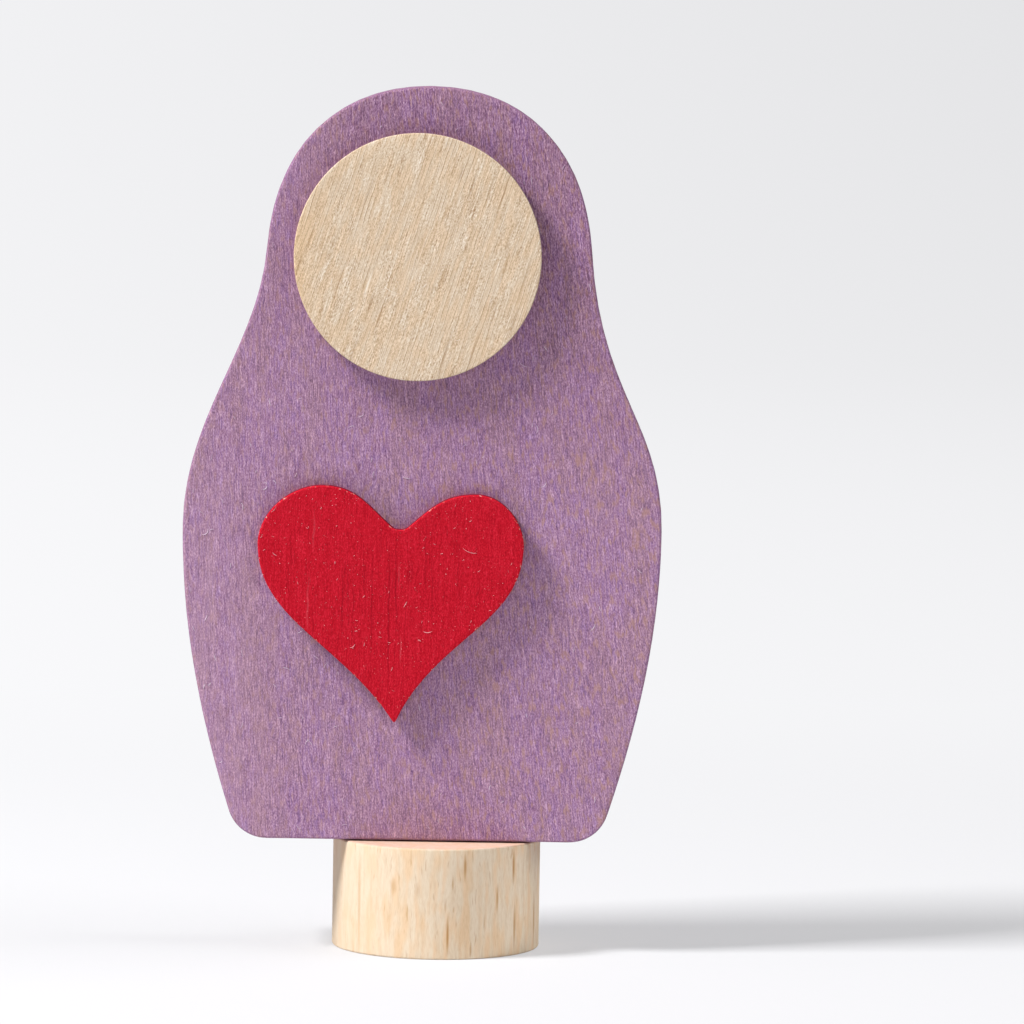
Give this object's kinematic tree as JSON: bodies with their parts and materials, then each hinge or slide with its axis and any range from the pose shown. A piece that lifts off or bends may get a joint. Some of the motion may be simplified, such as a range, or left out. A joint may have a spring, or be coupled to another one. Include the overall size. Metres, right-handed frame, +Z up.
{
  "type": "matryoshka doll figure",
  "caption": "Flat wooden figure in a matryoshka's outline, with a blank face disc and a heart glued on, standing on a round plug that fits the hole of a celebration ring.",
  "frame": {"origin": "centre of the round plug's flat underside, on the surface that the figure stands on", "axes": "+Z up along the plug's axis, -Y out of the front face that carries the disc and the heart, +X to the right seen from the front"},
  "size_m": [0.0435, 0.019, 0.0786],
  "materials": {
    "lilac_wood": "thin lilac stain on lime wood, matt, grain showing",
    "face_wood": "natural maple, sanded, unpainted",
    "red_wood": "strong red stain on lime wood, satin",
    "plug_wood": "natural beech rod, sanded",
    "dowel_wood": "fluted beech dowel, hidden"
  },
  "bodies": {
    "root": {"body_board": "lilac_wood", "face_disc": "face_wood", "heart": "red_wood", "base_plug": "plug_wood", "joint_dowel": "dowel_wood"}
  },
  "joints": []
}
